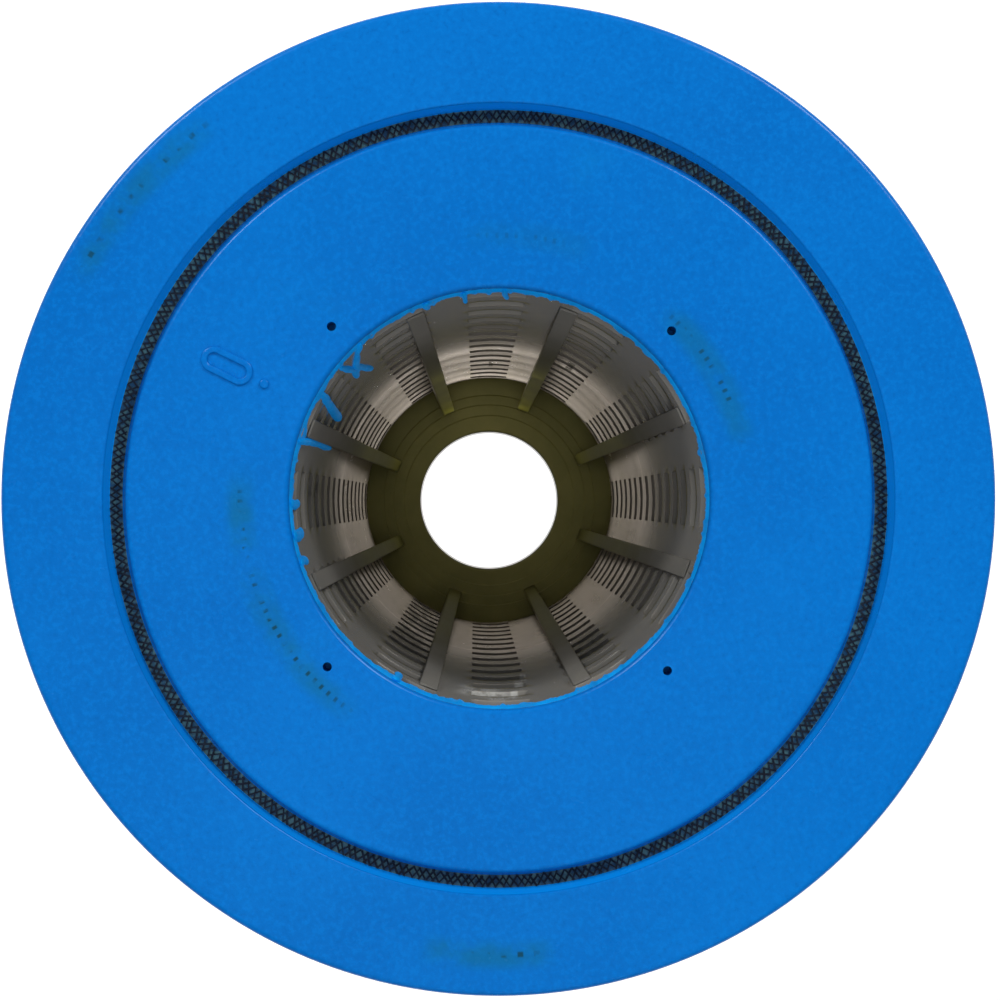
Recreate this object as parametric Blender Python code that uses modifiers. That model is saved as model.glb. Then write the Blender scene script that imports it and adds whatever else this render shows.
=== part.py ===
"""A pleated filter cartridge for a pool or spa filter, standing on its bottom end cap.

Two cast end caps hold a ring of folded filter cloth around a slotted core. Water comes in through
the cloth, through the windows of the core, and leaves down the core and out of the bottom cap.

Metres, +Z up. The origin is the centre of the bottom cap's face, and +Z runs up the core's axis.
"""
import math

import bmesh
import bpy
from mathutils import Matrix

NAME = "filter_cartridge"

# Overall sizes.
HEIGHT = 0.378
CAP_RADIUS = 0.1135
GAP = 0.0003                       # between pieces that touch
TURNED_STEPS = 48

# End caps: a face, a skirt outside the cloth and a potting ring around the core's end.
CAP_HEIGHT = 0.016
CAP_FACE = 0.006
CAP_EDGE_ROUND = 0.002
CAP_SKIRT_INNER = 0.1076
POTTING_OUTER = 0.0576
POTTING_INNER = 0.0509
MOUTH_RADIUS = 0.0480              # the open top of the core
MOUTH_ROUND = 0.0012
LIP_THICKNESS = 0.004              # cap over the core's top end
GROOVE_DEPTH = 0.0045
GROOVE_INNER = 0.0854
GROOVE_OUTER = 0.0907
GROOVE_SLOPE = 0.0012
PIN_HOLES = 4
PIN_CIRCLE = 0.0548
PIN_RADIUS = 0.00105
PIN_DEPTH = 0.008
PIN_FIRST = math.radians(44.3)

# Base plate, with a neck down through the bottom cap.
OUTLET_RADIUS = 0.027
NECK_RADIUS = 0.031
PLATE_BOTTOM = 0.0075
PLATE_THICKNESS = 0.005
PLATE_STEP = 0.0006
PLATE_STEP_RADII = (0.0408, 0.0330)
PLATE_TOP = PLATE_BOTTOM + PLATE_THICKNESS

# Core tube, in two sections that butt together.
CORE_INNER = 0.0476
CORE_OUTER = 0.0506
CORE_TOP = HEIGHT - LIP_THICKNESS - GAP
CORE_BOTTOM = PLATE_TOP + GAP
COLUMNS = 12
WINDOW_ANGLE = math.radians(16.5)
WINDOW_HEIGHT = 0.0109
CORE_DEPTH = HEIGHT - PLATE_TOP    # from the cap's face down to the base plate
ROW_PITCH = 0.0666 * CORE_DEPTH
FIRST_ROW = HEIGHT - 0.0105        # the top row's middle
UPPER_ROWS = 8
LOWER_ROWS = 7
CORE_JOINT = FIRST_ROW - (UPPER_ROWS - 0.5) * ROW_PITCH
RIB_RADIUS = 0.0560                # stand-off ribs that carry the netting
RIB_WIDTH = 0.0030
RIB_ROOT = 0.0490
COUPLING_OUTER = 0.0558
COUPLING_HEIGHT = 0.012

# Guide fins inside the core.
FINS = 8
FIN_FIRST = math.radians(24.5)
FIN_THICKNESS = 0.0045
FIN_OUTER = 0.0468
FIN_FOOT_INNER = 0.0371
FIN_TIP_INNER = 0.0455
FIN_TOP = HEIGHT - 0.05 * CORE_DEPTH

# Pleated cloth, its netting, its seam and the bands around it.
PLEATS = 172
PLEAT_INNER = 0.0580
PLEAT_OUTER = 0.1070
PLEAT_GROOVE = 0.0030              # how far the closed ring shows the gaps between its folds
CLOTH_INNER_FLATS = 72
NETTING_INNER = 0.0564
NETTING_OUTER = 0.0572
BAND_INNER = 0.1075
BAND_OUTER = 0.1083
BAND_WIDTH = 0.012
BAND_HEIGHTS = {"lower_pleat_band": 0.25, "middle_pleat_band": 0.50, "upper_pleat_band": 0.75}
SEAM_INNER = 0.1000
SEAM_OUTER = 0.1040
SEAM_WIDTH = 0.0012
SEAM_SLOT_WIDTH = SEAM_WIDTH + 2 * GAP

# Colours: red, green, blue, roughness.
BLUE_URETHANE = (0.0, 0.165, 0.590, 0.35)
CORE_PLASTIC = (0.370, 0.320, 0.270, 0.30)
DARK_PLASTIC = (0.032, 0.031, 0.015, 0.45)
NETTING_PLASTIC = (0.015, 0.020, 0.022, 0.60)
FILTER_CLOTH = (0.800, 0.805, 0.790, 0.90)
BAND_CLOTH = (0.700, 0.710, 0.700, 0.85)
SEAM_GLUE = (0.760, 0.730, 0.620, 0.40)


def empty_scene():
    for obj in list(bpy.data.objects):
        bpy.data.objects.remove(obj, do_unlink=True)


def new_collection(name):
    group = bpy.data.collections.new(name)
    bpy.context.scene.collection.children.link(group)
    return group


def material(name, colour):
    mat = bpy.data.materials.new(name)
    mat.use_nodes = True
    shader = mat.node_tree.nodes["Principled BSDF"]
    shader.inputs["Base Color"].default_value = (*colour[:3], 1.0)
    shader.inputs["Roughness"].default_value = colour[3]
    shader.inputs["Metallic"].default_value = 0.0
    mat.diffuse_color = (*colour[:3], 1.0)
    return mat


def place(obj, group, colour=None):
    group.objects.link(obj)
    if colour:
        obj.data.materials.append(material(obj.name, colour))
    return obj


def as_cutter(obj):
    obj.hide_render = True
    obj.display_type = "WIRE"
    return obj


def turned(name, profile, group, colour, steps=TURNED_STEPS):
    """A turned ring. The closed profile of (radius, height) runs down its outer side."""
    mesh = bpy.data.meshes.new(name)
    edges = [(i, (i + 1) % len(profile)) for i in range(len(profile))]
    mesh.from_pydata([(r, 0.0, z) for r, z in profile], edges, [])
    obj = place(bpy.data.objects.new(name, mesh), group, colour)
    screw = obj.modifiers.new("Screw", "SCREW")
    screw.axis = "Z"
    screw.angle = 2 * math.pi
    screw.steps = steps
    screw.render_steps = steps
    screw.use_merge_vertices = True
    screw.merge_threshold = 0.00001
    screw.use_smooth_shade = True
    return obj


def ring(name, inner, outer, bottom, top, group, colour):
    return turned(name, [(inner, top), (outer, top), (outer, bottom), (inner, bottom)], group, colour)


def outline_solid(name, outlines, thickness, group, colour):
    """A flat outline, with holes, given its thickness evenly about its own plane."""
    curve = bpy.data.curves.new(name, "CURVE")
    curve.dimensions = "2D"
    curve.fill_mode = "BOTH"
    curve.extrude = thickness / 2
    for outline in outlines:
        spline = curve.splines.new("POLY")
        spline.points.add(len(outline) - 1)
        for point, (x, y) in zip(spline.points, outline):
            point.co = (x, y, 0.0, 1.0)
        spline.use_cyclic_u = True
    return place(bpy.data.objects.new(name, curve), group, colour)


def curve_to_mesh(obj, group):
    """The same piece as a welded mesh, so that it can be cut and joined."""
    bpy.context.view_layer.update()
    solid = obj.evaluated_get(bpy.context.evaluated_depsgraph_get())
    mesh = bpy.data.meshes.new_from_object(solid)
    edit = bmesh.new()
    edit.from_mesh(mesh)
    bmesh.ops.remove_doubles(edit, verts=edit.verts, dist=0.00001)
    edit.to_mesh(mesh)
    edit.free()
    name, matrix = obj.name, obj.matrix_world.copy()
    bpy.data.objects.remove(obj, do_unlink=True)
    piece = bpy.data.objects.new(name, mesh)
    group.objects.link(piece)
    piece.matrix_world = matrix
    return piece


def boxes(name, size, matrices, group):
    """Equal boxes in one mesh, one at each matrix."""
    edit = bmesh.new()
    for matrix in matrices:
        bmesh.ops.create_cube(edit, size=1.0, matrix=matrix @ Matrix.Diagonal((*size, 1.0)))
    mesh = bpy.data.meshes.new(name)
    edit.to_mesh(mesh)
    edit.free()
    return as_cutter(place(bpy.data.objects.new(name, mesh), group))


def boolean(obj, other, operation):
    step = obj.modifiers.new(operation.title(), "BOOLEAN")
    step.operation = operation
    step.solver = "EXACT"
    step.object = other


def polar(radius, angle):
    return radius * math.cos(angle), radius * math.sin(angle)


def around(angle, radius, height):
    """A place on a circle about the axis, with its local X pointing outwards."""
    x, y = polar(radius, angle)
    return Matrix.Translation((x, y, height)) @ Matrix.Rotation(angle, 4, "Z")


def cap_rim(sign, face):
    """The skirt's rounded outer edge, from the face outwards. sign is +1 where the face is up."""
    steps = 3
    points = []
    for i in range(steps + 1):
        turn = math.pi / 2 * i / steps
        radius = CAP_RADIUS - CAP_EDGE_ROUND * (1 - math.sin(turn))
        points.append((radius, face - sign * CAP_EDGE_ROUND * (1 - math.cos(turn))))
    return points


def cap_groove(sign, face):
    """The moulded groove in the face, from its inner edge outwards."""
    floor = face - sign * GROOVE_DEPTH
    return [(GROOVE_INNER, face), (GROOVE_INNER + GROOVE_SLOPE, floor),
            (GROOVE_OUTER - GROOVE_SLOPE, floor), (GROOVE_OUTER, face)]


def make_top_cap(group, cutters):
    skirt = HEIGHT - CAP_HEIGHT
    under = HEIGHT - CAP_FACE
    profile = [(MOUTH_RADIUS, HEIGHT - MOUTH_ROUND), (MOUTH_RADIUS + MOUTH_ROUND, HEIGHT)]
    profile += cap_groove(1, HEIGHT) + cap_rim(1, HEIGHT)
    profile += [(CAP_RADIUS, skirt), (CAP_SKIRT_INNER, skirt), (CAP_SKIRT_INNER, under),
                (POTTING_OUTER, under), (POTTING_OUTER, skirt), (POTTING_INNER, skirt),
                (POTTING_INNER, HEIGHT - LIP_THICKNESS), (MOUTH_RADIUS, HEIGHT - LIP_THICKNESS)]
    cap = turned("top_end_cap", profile, group, BLUE_URETHANE)

    edit = bmesh.new()
    for i in range(PIN_HOLES):
        matrix = around(PIN_FIRST + 2 * math.pi * i / PIN_HOLES, PIN_CIRCLE, HEIGHT)
        bmesh.ops.create_cone(edit, cap_ends=True, segments=8, radius1=PIN_RADIUS, radius2=PIN_RADIUS,
                              depth=2 * PIN_DEPTH, matrix=matrix)
    mesh = bpy.data.meshes.new("pin_hole_cutter")
    edit.to_mesh(mesh)
    edit.free()
    pins = as_cutter(place(bpy.data.objects.new("pin_hole_cutter", mesh), cutters))
    boolean(cap, pins, "DIFFERENCE")


def make_bottom_cap(group):
    hole = NECK_RADIUS + GAP
    seat = PLATE_BOTTOM - GAP
    profile = [(hole, seat), (POTTING_INNER, seat), (POTTING_INNER, CAP_HEIGHT),
               (POTTING_OUTER, CAP_HEIGHT), (POTTING_OUTER, CAP_FACE), (CAP_SKIRT_INNER, CAP_FACE),
               (CAP_SKIRT_INNER, CAP_HEIGHT), (CAP_RADIUS, CAP_HEIGHT)]
    profile += list(reversed(cap_rim(-1, 0.0))) + list(reversed(cap_groove(-1, 0.0)))
    profile += [(hole + MOUTH_ROUND, 0.0), (hole, MOUTH_ROUND)]
    turned("bottom_end_cap", profile, group, BLUE_URETHANE)


def make_base_plate(group):
    """A stepped disc under the core, with a neck that lines the bottom cap's hole."""
    outer_step, inner_step = PLATE_STEP_RADII
    profile = [(OUTLET_RADIUS, PLATE_TOP - 2 * PLATE_STEP), (inner_step, PLATE_TOP - 2 * PLATE_STEP),
               (inner_step, PLATE_TOP - PLATE_STEP), (outer_step, PLATE_TOP - PLATE_STEP),
               (outer_step, PLATE_TOP), (CORE_OUTER, PLATE_TOP), (CORE_OUTER, PLATE_BOTTOM),
               (NECK_RADIUS, PLATE_BOTTOM), (NECK_RADIUS, 2 * GAP), (OUTLET_RADIUS, 2 * GAP)]
    turned("core_base_plate", profile, group, DARK_PLASTIC)


def core_circle(radius):
    """One flat over each window column, and two over the solid land beside it."""
    pitch = 2 * math.pi / COLUMNS
    turns = (-WINDOW_ANGLE / 2, WINDOW_ANGLE / 2, pitch / 2)
    return [polar(radius, pitch * i + turn) for i in range(COLUMNS) for turn in turns]


def make_core_section(name, bottom, top, rib_bottom, rib_top, rows, group, cutters):
    tube = outline_solid(name, [core_circle(CORE_OUTER), core_circle(CORE_INNER)], top - bottom,
                         group, CORE_PLASTIC)
    tube.location.z = (bottom + top) / 2
    tube = curve_to_mesh(tube, group)

    pitch = 2 * math.pi / COLUMNS
    middle = (RIB_ROOT + RIB_RADIUS) / 2
    rib_size = (RIB_RADIUS - RIB_ROOT, RIB_WIDTH, rib_top - rib_bottom)
    rib_places = [around(pitch * (i + 0.5), middle, (rib_bottom + rib_top) / 2) for i in range(COLUMNS)]
    boolean(tube, boxes(name + "_ribs", rib_size, rib_places, cutters), "UNION")

    width = 2 * CORE_INNER * math.sin(WINDOW_ANGLE / 2) - 2 * GAP
    window_size = (3 * (CORE_OUTER - CORE_INNER), width, WINDOW_HEIGHT)
    window_places = [around(pitch * i, (CORE_INNER + CORE_OUTER) / 2, FIRST_ROW - row * ROW_PITCH)
                     for i in range(COLUMNS) for row in rows]
    boolean(tube, boxes(name + "_windows", window_size, window_places, cutters), "DIFFERENCE")
    return tube


def make_core(group, cutters):
    clear_of_cap = CAP_HEIGHT + 2 * GAP
    clear_of_coupling = COUPLING_HEIGHT / 2 + GAP
    make_core_section("core_upper_section", CORE_JOINT + GAP / 2, CORE_TOP,
                      CORE_JOINT + clear_of_coupling, HEIGHT - clear_of_cap,
                      range(UPPER_ROWS), group, cutters)
    make_core_section("core_lower_section", CORE_BOTTOM, CORE_JOINT - GAP / 2,
                      clear_of_cap, CORE_JOINT - clear_of_coupling,
                      range(UPPER_ROWS, UPPER_ROWS + LOWER_ROWS), group, cutters)
    ring("core_coupling_ring", CORE_OUTER + 2 * GAP, COUPLING_OUTER,
         CORE_JOINT - COUPLING_HEIGHT / 2, CORE_JOINT + COUPLING_HEIGHT / 2, group, DARK_PLASTIC)


def make_fins(group):
    """Tall tapered fins that stand on the base plate, against the core's wall."""
    foot = PLATE_TOP + GAP
    outline = [(FIN_FOOT_INNER, foot), (FIN_OUTER, foot), (FIN_OUTER, FIN_TOP), (FIN_TIP_INNER, FIN_TOP)]
    for i in range(FINS):
        fin = outline_solid(f"guide_fin_{i + 1}", [outline], FIN_THICKNESS, group, DARK_PLASTIC)
        fin.rotation_euler = (math.pi / 2, 0.0, FIN_FIRST + 2 * math.pi * i / FINS)


def make_cloth(group):
    """The folded cloth as one closed ring, with its fold tips outside and a slot for the seam."""
    half_pitch = math.pi / PLEATS
    slot_floor = SEAM_INNER - GAP
    slot_turn = SEAM_SLOT_WIDTH / 2 / slot_floor
    outside = []
    for i in range(PLEATS):
        outside.append(polar(PLEAT_OUTER, 2 * half_pitch * i))
        gap_angle = half_pitch * (2 * i + 1)
        if i == 0:
            outside += [polar(PLEAT_OUTER - PLEAT_GROOVE, gap_angle - slot_turn),
                        polar(slot_floor, gap_angle - slot_turn), polar(slot_floor, gap_angle + slot_turn),
                        polar(PLEAT_OUTER - PLEAT_GROOVE, gap_angle + slot_turn)]
        else:
            outside.append(polar(PLEAT_OUTER - PLEAT_GROOVE, gap_angle))
    inside = [polar(PLEAT_INNER, 2 * math.pi * i / CLOTH_INNER_FLATS) for i in range(CLOTH_INNER_FLATS)]
    length = HEIGHT - 2 * (CAP_FACE + GAP)
    cloth = outline_solid("pleated_media", [outside, inside], length, group, FILTER_CLOTH)
    cloth.location.z = HEIGHT / 2


def make_seam(group):
    """The bead of glue that closes the ring of cloth, down one valley between two folds."""
    bead_bottom = CAP_HEIGHT + GAP
    bead_height = HEIGHT - 2 * bead_bottom
    edit = bmesh.new()
    matrix = around(math.pi / PLEATS, (SEAM_INNER + SEAM_OUTER) / 2, HEIGHT / 2)
    size = Matrix.Diagonal((SEAM_OUTER - SEAM_INNER, SEAM_WIDTH, bead_height, 1.0))
    bmesh.ops.create_cube(edit, size=1.0, matrix=matrix @ size)
    mesh = bpy.data.meshes.new("seam_bead")
    edit.to_mesh(mesh)
    edit.free()
    place(bpy.data.objects.new("seam_bead", mesh), group, SEAM_GLUE)


def main():
    empty_scene()
    group = new_collection(NAME)
    cutters = new_collection("cutters")
    make_top_cap(group, cutters)
    make_bottom_cap(group)
    make_base_plate(group)
    make_core(group, cutters)
    make_fins(group)
    make_cloth(group)
    make_seam(group)
    end = CAP_HEIGHT + GAP
    ring("support_netting", NETTING_INNER, NETTING_OUTER, end, HEIGHT - end, group, NETTING_PLASTIC)
    for name, share in BAND_HEIGHTS.items():
        middle = share * HEIGHT
        ring(name, BAND_INNER, BAND_OUTER, middle - BAND_WIDTH / 2, middle + BAND_WIDTH / 2, group, BAND_CLOTH)


main()
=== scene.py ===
# %% [markdown]
# # A pleated pool filter cartridge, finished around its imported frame
#
# The frame holds the true sizes: two cast end caps, a ring of folded cloth, and a slotted core on a
# base plate. This script gives each of them its finished surface, in the frame's place and at the outer
# size that is read from the frame. Its boxes don't tell inner radii, nor small details such as a
# rounding, so those are named here. Two of them differ a little from the frame's own solids: the groove
# lies 0.4 mm nearer the axis, and the fins lie 0.7 mm nearer the wall and have thinner tips.

# %% The frame
import math

import bmesh
import bpy
import numpy as np
from mathutils import Matrix, Vector, noise


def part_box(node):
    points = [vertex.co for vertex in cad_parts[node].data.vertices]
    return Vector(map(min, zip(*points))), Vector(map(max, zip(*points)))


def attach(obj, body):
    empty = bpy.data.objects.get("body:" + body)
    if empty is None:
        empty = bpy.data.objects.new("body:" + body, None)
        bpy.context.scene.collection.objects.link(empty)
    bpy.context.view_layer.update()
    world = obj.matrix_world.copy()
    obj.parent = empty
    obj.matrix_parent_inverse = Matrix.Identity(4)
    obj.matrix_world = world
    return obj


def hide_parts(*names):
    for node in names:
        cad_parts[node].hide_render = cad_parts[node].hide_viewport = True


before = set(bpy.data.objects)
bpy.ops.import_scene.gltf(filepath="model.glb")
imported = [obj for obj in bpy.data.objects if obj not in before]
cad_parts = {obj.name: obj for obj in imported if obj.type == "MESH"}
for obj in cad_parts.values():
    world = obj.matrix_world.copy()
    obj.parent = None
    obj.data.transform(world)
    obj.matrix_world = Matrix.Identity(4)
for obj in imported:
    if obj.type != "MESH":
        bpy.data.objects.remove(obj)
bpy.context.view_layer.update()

# %% Sizes that the pieces share
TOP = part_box("top_end_cap")[1].z
CAP_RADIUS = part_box("top_end_cap")[1].x
CAP_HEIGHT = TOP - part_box("top_end_cap")[0].z
PLATE_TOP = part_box("core_base_plate")[1].z
CORE_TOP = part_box("core_upper_section")[1].z
CORE_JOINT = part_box("core_upper_section")[0].z
CORE_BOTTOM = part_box("core_lower_section")[0].z
CLOTH_LOW, CLOTH_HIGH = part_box("pleated_media")
DEPTH = TOP - PLATE_TOP             # down the core, from the cap's face to the base plate

CORE_INNER = 0.0476
CORE_OUTER = 0.0506
CORE_SEAT = CORE_OUTER + 0.0003     # the caps' resin starts here, outside the core
COLUMNS = 12
COLUMN_TURN = math.radians(0.5)     # how far the first column of windows is turned from +X
WINDOW_ANGLE = math.radians(16.5)
WINDOW_HEIGHT = 0.0109
ROW_PITCH = 0.0666 * DEPTH
FIRST_ROW = TOP - 0.0105
PLEATS = 172
POTTING_INNER = 0.0576              # the cloth's space in each cap
POTTING_OUTER = 0.1076
GROOVE_INNER = 0.0850
GROOVE_OUTER = 0.0903
GROOVE_DEPTH = 0.0045
rng = np.random.default_rng(7)
print(f"core: {DEPTH * 1000:.1f} mm deep, rows every {ROW_PITCH * 1000:.1f} mm")

# %% [markdown]
# ## The camera
#
# The cartridge is seen from straight above, half a metre over its open end, so the core's wall runs
# away down to the base plate. A camera that looks along -Z has no natural "up", so its three axes are
# set by hand: +Y of the object is up in the picture.

# %% Camera
EYE = Vector((-0.0057, -0.0009, TOP + 0.513))
AIM = Vector((0.0001, -0.0003, TOP))
camera_data = bpy.data.cameras.new("camera")
camera_data.sensor_width = 36.0
camera_data.lens = 81.1
camera_data.clip_start = 0.01
camera = bpy.data.objects.new("camera", camera_data)
bpy.context.scene.collection.objects.link(camera)
back = (EYE - AIM).normalized()
right = Vector((0, 1, 0)).cross(back).normalized()
turn = Matrix((right, back.cross(right), back)).transposed().to_4x4()
camera.matrix_world = Matrix.Translation(EYE) @ turn
bpy.context.scene.camera = camera
print("camera at", [round(v, 3) for v in EYE])

# %% [markdown]
# ## Floor and light
#
# A pale floor under an even studio light, with two large soft lamps on the +Y side, which give the
# wet-looking highlights in the groove. A broad lamp over the camera would leave a milky veil on the
# flat face, so it and the fill are hidden from reflections. The bore is deep and would stay black, so
# five small soft lamps stand in it and look up, one above another.

# %% Light
def lamp(name, place, aim, size, watts, mirrored=True):
    data = bpy.data.lights.new(name, "AREA")
    data.shape = "DISK"
    data.size = size
    data.energy = watts
    obj = bpy.data.objects.new(name, data)
    bpy.context.scene.collection.objects.link(obj)
    obj.location = place
    obj.rotation_euler = (Vector(aim) - Vector(place)).to_track_quat("-Z", "Y").to_euler()
    obj.visible_camera = False
    obj.visible_glossy = mirrored


lamp("key_left", (-0.95, 1.05, TOP + 1.0), (0, 0, TOP), 0.5, 14.0)
lamp("key_right", (0.85, 1.05, TOP + 1.0), (0, 0, TOP), 0.5, 14.0)
lamp("fill", (0.1, -1.1, TOP + 1.1), (0, 0, TOP), 0.9, 7.5, mirrored=False)
lamp("overhead", (-0.08, -0.22, TOP + 1.6), (0, 0, TOP), 0.8, 6.0, mirrored=False)
BORE_LAMP_X, BORE_LAMP_Y = -0.002, 0.020
BORE_LAMP_STEP = 0.10 * DEPTH
for i, watts in enumerate([0.044, 0.017, 0.016, 0.016, 0.022]):
    place = (BORE_LAMP_X, BORE_LAMP_Y, PLATE_TOP + 0.01 * DEPTH + i * BORE_LAMP_STEP)
    lamp(f"bore_{i + 1}", place, (BORE_LAMP_X, BORE_LAMP_Y, TOP), 0.020, watts, mirrored=False)
world = bpy.data.worlds.new("studio")
world.use_nodes = True
backdrop = world.node_tree.nodes["Background"]
dim = world.node_tree.nodes.new("ShaderNodeBackground")
seen = world.node_tree.nodes.new("ShaderNodeMixShader")
path = world.node_tree.nodes.new("ShaderNodeLightPath")
backdrop.inputs["Color"].default_value = (1.0, 1.0, 1.0, 1.0)
backdrop.inputs["Strength"].default_value = 0.95
dim.inputs["Color"].default_value = (1.0, 1.0, 1.0, 1.0)
dim.inputs["Strength"].default_value = 0.13
world.node_tree.links.new(path.outputs["Is Camera Ray"], seen.inputs[0])
world.node_tree.links.new(dim.outputs[0], seen.inputs[1])
world.node_tree.links.new(backdrop.outputs[0], seen.inputs[2])
world.node_tree.links.new(seen.outputs[0], world.node_tree.nodes["World Output"].inputs["Surface"])
bpy.context.scene.world = world
bpy.context.scene.view_settings.view_transform = "Standard"
print("lights: two keys, a fill, an overhead, five in the bore, and the studio")

# %% [markdown]
# ## Writing materials as sums
#
# A material is a graph of nodes. `Wire` stands for one socket of that graph and understands Python's
# own signs, so `1 - mask * 0.5` adds its Math nodes. `Paint` is the material itself, with one method
# that makes any other node. Patterns read Object coordinates: a piece's object stays at the origin,
# so those are real metres from the middle of the bottom cap.

# %% A socket that does sums
class Wire:
    """One socket in a material. Python's signs on it add Math nodes."""

    def __init__(self, paint, socket):
        self.paint = paint
        self.socket = socket

    def maths(self, operation, *values):
        return self.paint.node("ShaderNodeMath", {"operation": operation}, dict(enumerate(values)))

    def __add__(self, other):
        return self.maths("ADD", self, other)

    def __sub__(self, other):
        return self.maths("SUBTRACT", self, other)

    def __rsub__(self, other):
        return self.maths("SUBTRACT", other, self)

    def __mul__(self, other):
        return self.maths("MULTIPLY", self, other)

    def __truediv__(self, other):
        return self.maths("DIVIDE", self, other)

    def __pow__(self, other):
        return self.maths("POWER", self, other)

    def sine(self):
        return self.maths("SINE", self)

    def size(self):
        return self.maths("ABSOLUTE", self)

    def fade(self, start, end):
        """0 before start, 1 after end, and smooth between. start may be the larger."""
        return self.paint.node("ShaderNodeMapRange", {"interpolation_type": "SMOOTHSTEP"},
                               {0: self, 1: start, 2: end, 3: 0.0, 4: 1.0})

    def band(self, middle, half, soft):
        """1 within half of middle, fading out over soft."""
        return (self - middle).size().fade(half + soft, half)

    __radd__ = __add__
    __rmul__ = __mul__


# %% A material that makes nodes
class Paint:
    """A material with a Principled shader, and short ways to add to it."""

    def __init__(self, name, **fixed):
        self.material = bpy.data.materials.new(name)
        self.material.use_nodes = True
        self.tree = self.material.node_tree
        self.shader = self.tree.nodes["Principled BSDF"]
        self.where = self.node("ShaderNodeTexCoord", out="Object")
        for socket, value in fixed.items():
            self.shader.inputs[socket.replace("_", " ")].default_value = value

    def node(self, kind, settings=None, sockets=None, out=0):
        node = self.tree.nodes.new(kind)
        for key, value in (settings or {}).items():
            setattr(node, key, value)
        for key, value in (sockets or {}).items():
            if isinstance(value, Wire):
                self.tree.links.new(value.socket, node.inputs[key])
            else:
                node.inputs[key].default_value = value
        return Wire(self, node.outputs[out])

    def split(self, vector):
        parts = self.node("ShaderNodeSeparateXYZ", sockets={0: vector}).socket.node.outputs
        return [Wire(self, parts[axis]) for axis in "XYZ"]

    def xyz(self):
        return self.split(self.where)

    def polar(self):
        """Distance from the axis, angle about it, and height."""
        x, y, z = self.xyz()
        return (x * x + y * y) ** 0.5, x.maths("ARCTAN2", y, x), z

    def noise(self, scale, detail=2.0, where=None, roughness=0.5):
        return self.node("ShaderNodeTexNoise", sockets={
            "Vector": where or self.where, "Scale": scale, "Detail": detail, "Roughness": roughness})

    def stretched(self, x, y, z):
        """Object coordinates, multiplied along each axis."""
        return self.node("ShaderNodeMapping", sockets={"Vector": self.where, "Scale": (x, y, z)})

    def mix(self, share, first, second):
        return self.node("ShaderNodeMix", {"data_type": "RGBA"}, {0: share, 6: first, 7: second}, out=2)

    def set(self, socket, value):
        self.tree.links.new(value.socket, self.shader.inputs[socket])

    def relief(self, height, strength=1.0):
        """A bump whose height is in metres."""
        self.set("Normal", self.node("ShaderNodeBump", sockets={
            "Strength": strength, "Distance": 1.0, "Height": height}))


def colour(red, green, blue):
    return red, green, blue, 1.0


# %% [markdown]
# ## Making pieces
#
# Most of a cartridge is turned: its section is drawn once, in (radius, height), and spun about the
# axis. Cast and moulded parts have no true corners, so each corner of a section carries its own
# rounding. Two extra points just outside each rounding keep the flat faces flat when they are shaded.

# %% Helpers for pieces
def rounded(corners, segments=5):
    """The points of a closed section whose corners (radius, height, rounding) become arcs."""
    support = 0.00015
    points = []
    for i, (radius, height, rounding) in enumerate(corners):
        corner = Vector((radius, height))
        if not rounding:
            points.append(corner)
            continue
        to_last = (Vector(corners[i - 1][:2]) - corner).normalized()
        to_next = (Vector(corners[(i + 1) % len(corners)][:2]) - corner).normalized()
        half = to_last.angle(to_next) / 2
        reach = rounding / math.tan(half)
        centre = corner + (to_last + to_next).normalized() * (rounding / math.sin(half))
        first = (corner + to_last * reach - centre).normalized()
        last = (corner + to_next * reach - centre).normalized()
        points.append(corner + to_last * (reach + support))
        points += [centre + first.slerp(last, k / segments) * rounding for k in range(segments + 1)]
        points.append(corner + to_next * (reach + support))
    return points


def turned(corners, steps=192, segments=5):
    """A bmesh of the closed section, spun about the axis."""
    bm = bmesh.new()
    verts = [bm.verts.new((p.x, 0.0, p.y)) for p in rounded(corners, segments)]
    edges = [bm.edges.new((verts[i - 1], verts[i])) for i in range(len(verts))]
    bmesh.ops.spin(bm, geom=verts + edges, cent=(0, 0, 0), axis=(0, 0, 1), angle=2 * math.pi,
                   steps=steps, use_merge=True)
    bmesh.ops.remove_doubles(bm, verts=bm.verts, dist=0.000001)
    bmesh.ops.recalc_face_normals(bm, faces=bm.faces)
    return bm


def piece(name, bm, paint, replaces=(), sharp=40):
    """The bmesh as a finished object that stands for some nodes of the frame."""
    mesh = bpy.data.meshes.new(name)
    bm.to_mesh(mesh)
    bm.free()
    mesh.shade_smooth()
    mesh.set_sharp_from_angle(angle=math.radians(sharp))
    mesh.materials.append(paint.material)
    obj = bpy.data.objects.new(name, mesh)
    bpy.context.scene.collection.objects.link(obj)
    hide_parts(*replaces)
    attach(obj, "root")
    print(f"{name}: {len(mesh.polygons)} faces")
    return obj


def soften(bm, offset):
    """Rounds every edge of the bmesh."""
    bmesh.ops.bevel(bm, geom=bm.edges[:], offset=offset, segments=2, profile=0.5, affect="EDGES",
                    material=-1)


def around(angle, radius, height=0.0):
    """A place at that angle about the axis, with its own X pointing outwards."""
    turn = Matrix.Rotation(angle, 4, "Z")
    return turn @ Matrix.Translation((radius, 0.0, height))


def on_circle(radius, angle, height):
    return Vector((radius * math.cos(angle), radius * math.sin(angle), height))


# %% [markdown]
# ## Floor and lit table
#
# The floor glows a little, so that it stays white around the shadow. It is see-through from below,
# so the bottom cap can be looked at too. A lit disc under the outlet makes the outlet a white hole.
# Seen at a grazing angle, the wall of the core is nearly a mirror and would turn white as well, so
# reflections meet a dimmer disc.

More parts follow.
